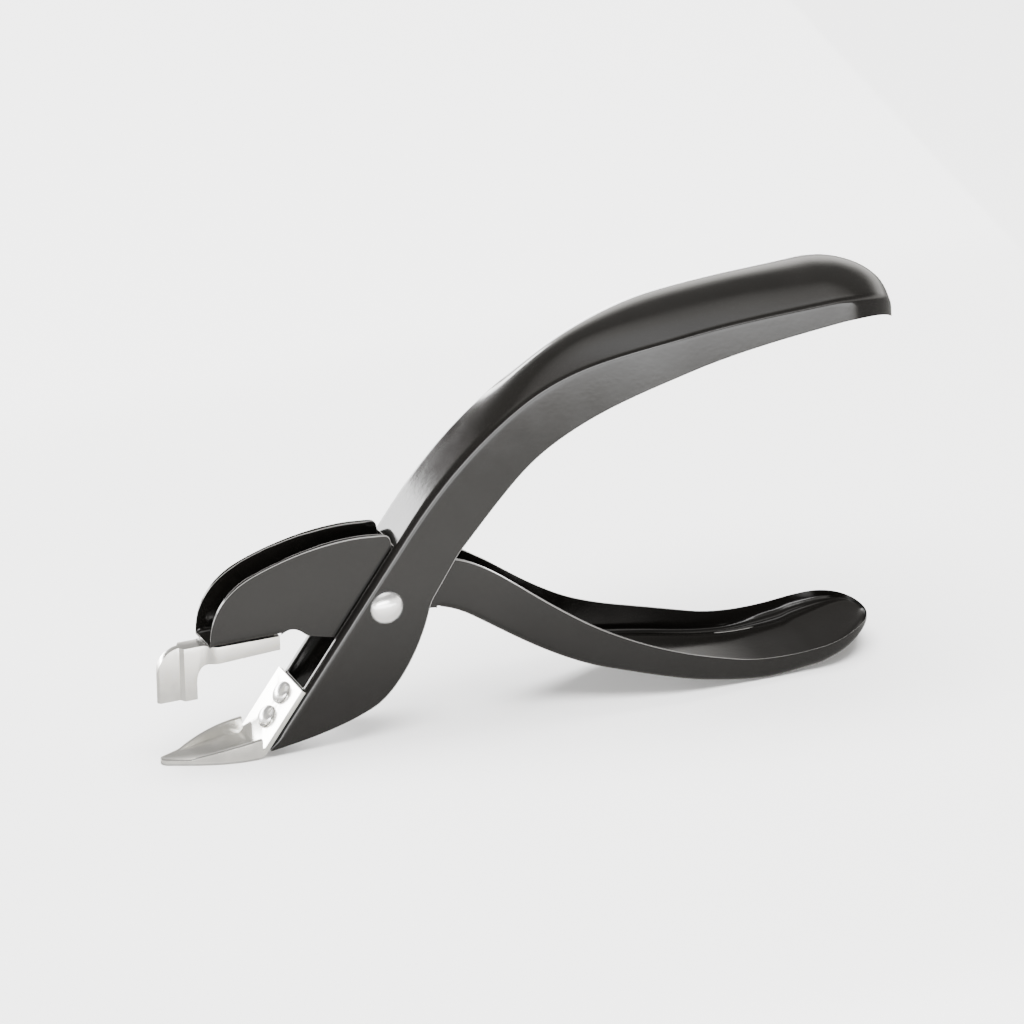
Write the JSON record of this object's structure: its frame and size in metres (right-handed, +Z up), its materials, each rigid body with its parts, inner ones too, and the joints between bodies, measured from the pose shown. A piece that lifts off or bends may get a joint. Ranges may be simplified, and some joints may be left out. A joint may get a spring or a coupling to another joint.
{
  "type": "staple remover",
  "caption": "Plier-type staple remover: a tongue slides under the staple and, as the sprung handles are squeezed, a presser folds the staple's crown down and lifts its legs out.",
  "frame": {"origin": "centre of the tool's length and width, on the plane it stands on, which touches the underside of the tongue and the bottom of the lower handle", "axes": "+X from the jaws to the ends of the handles, +Z up, +Y across the tool; the pivot pin lies along Y"},
  "size_m": [0.1828, 0.0296, 0.0951],
  "materials": {
    "black_enamel": "glossy black stoving enamel on pressed steel",
    "bright_plate": "bright nickel plate on hardened steel strip",
    "rivet_steel": "zinc plated rivet steel, tumbled",
    "spring_wire": "drawn spring wire, oiled"
  },
  "bodies": {
    "frame": {"upper_handle_frame": "black_enamel", "tongue_blade": "bright_plate", "tongue_rivet_upper": "rivet_steel", "tongue_rivet_lower": "rivet_steel", "pivot_rivet": "rivet_steel", "pivot_bush": "rivet_steel", "pivot_washer_near": "rivet_steel", "pivot_washer_far": "rivet_steel", "return_spring": "spring_wire"},
    "lever": {"lower_handle_lever": "black_enamel", "staple_presser": "bright_plate", "presser_rivet_front": "rivet_steel", "presser_rivet_rear": "rivet_steel"}
  },
  "joints": [
    {"name": "squeeze", "type": "hinge", "parent": "frame", "child": "lever", "pos_m": [-0.0371, 0, 0.03265], "axis": [0, -1, 0], "range_deg": [0, 14], "stiffness_Nm_per_rad": 0.6, "springref_deg": -14.32, "deforming": ["return_spring"]}
  ]
}
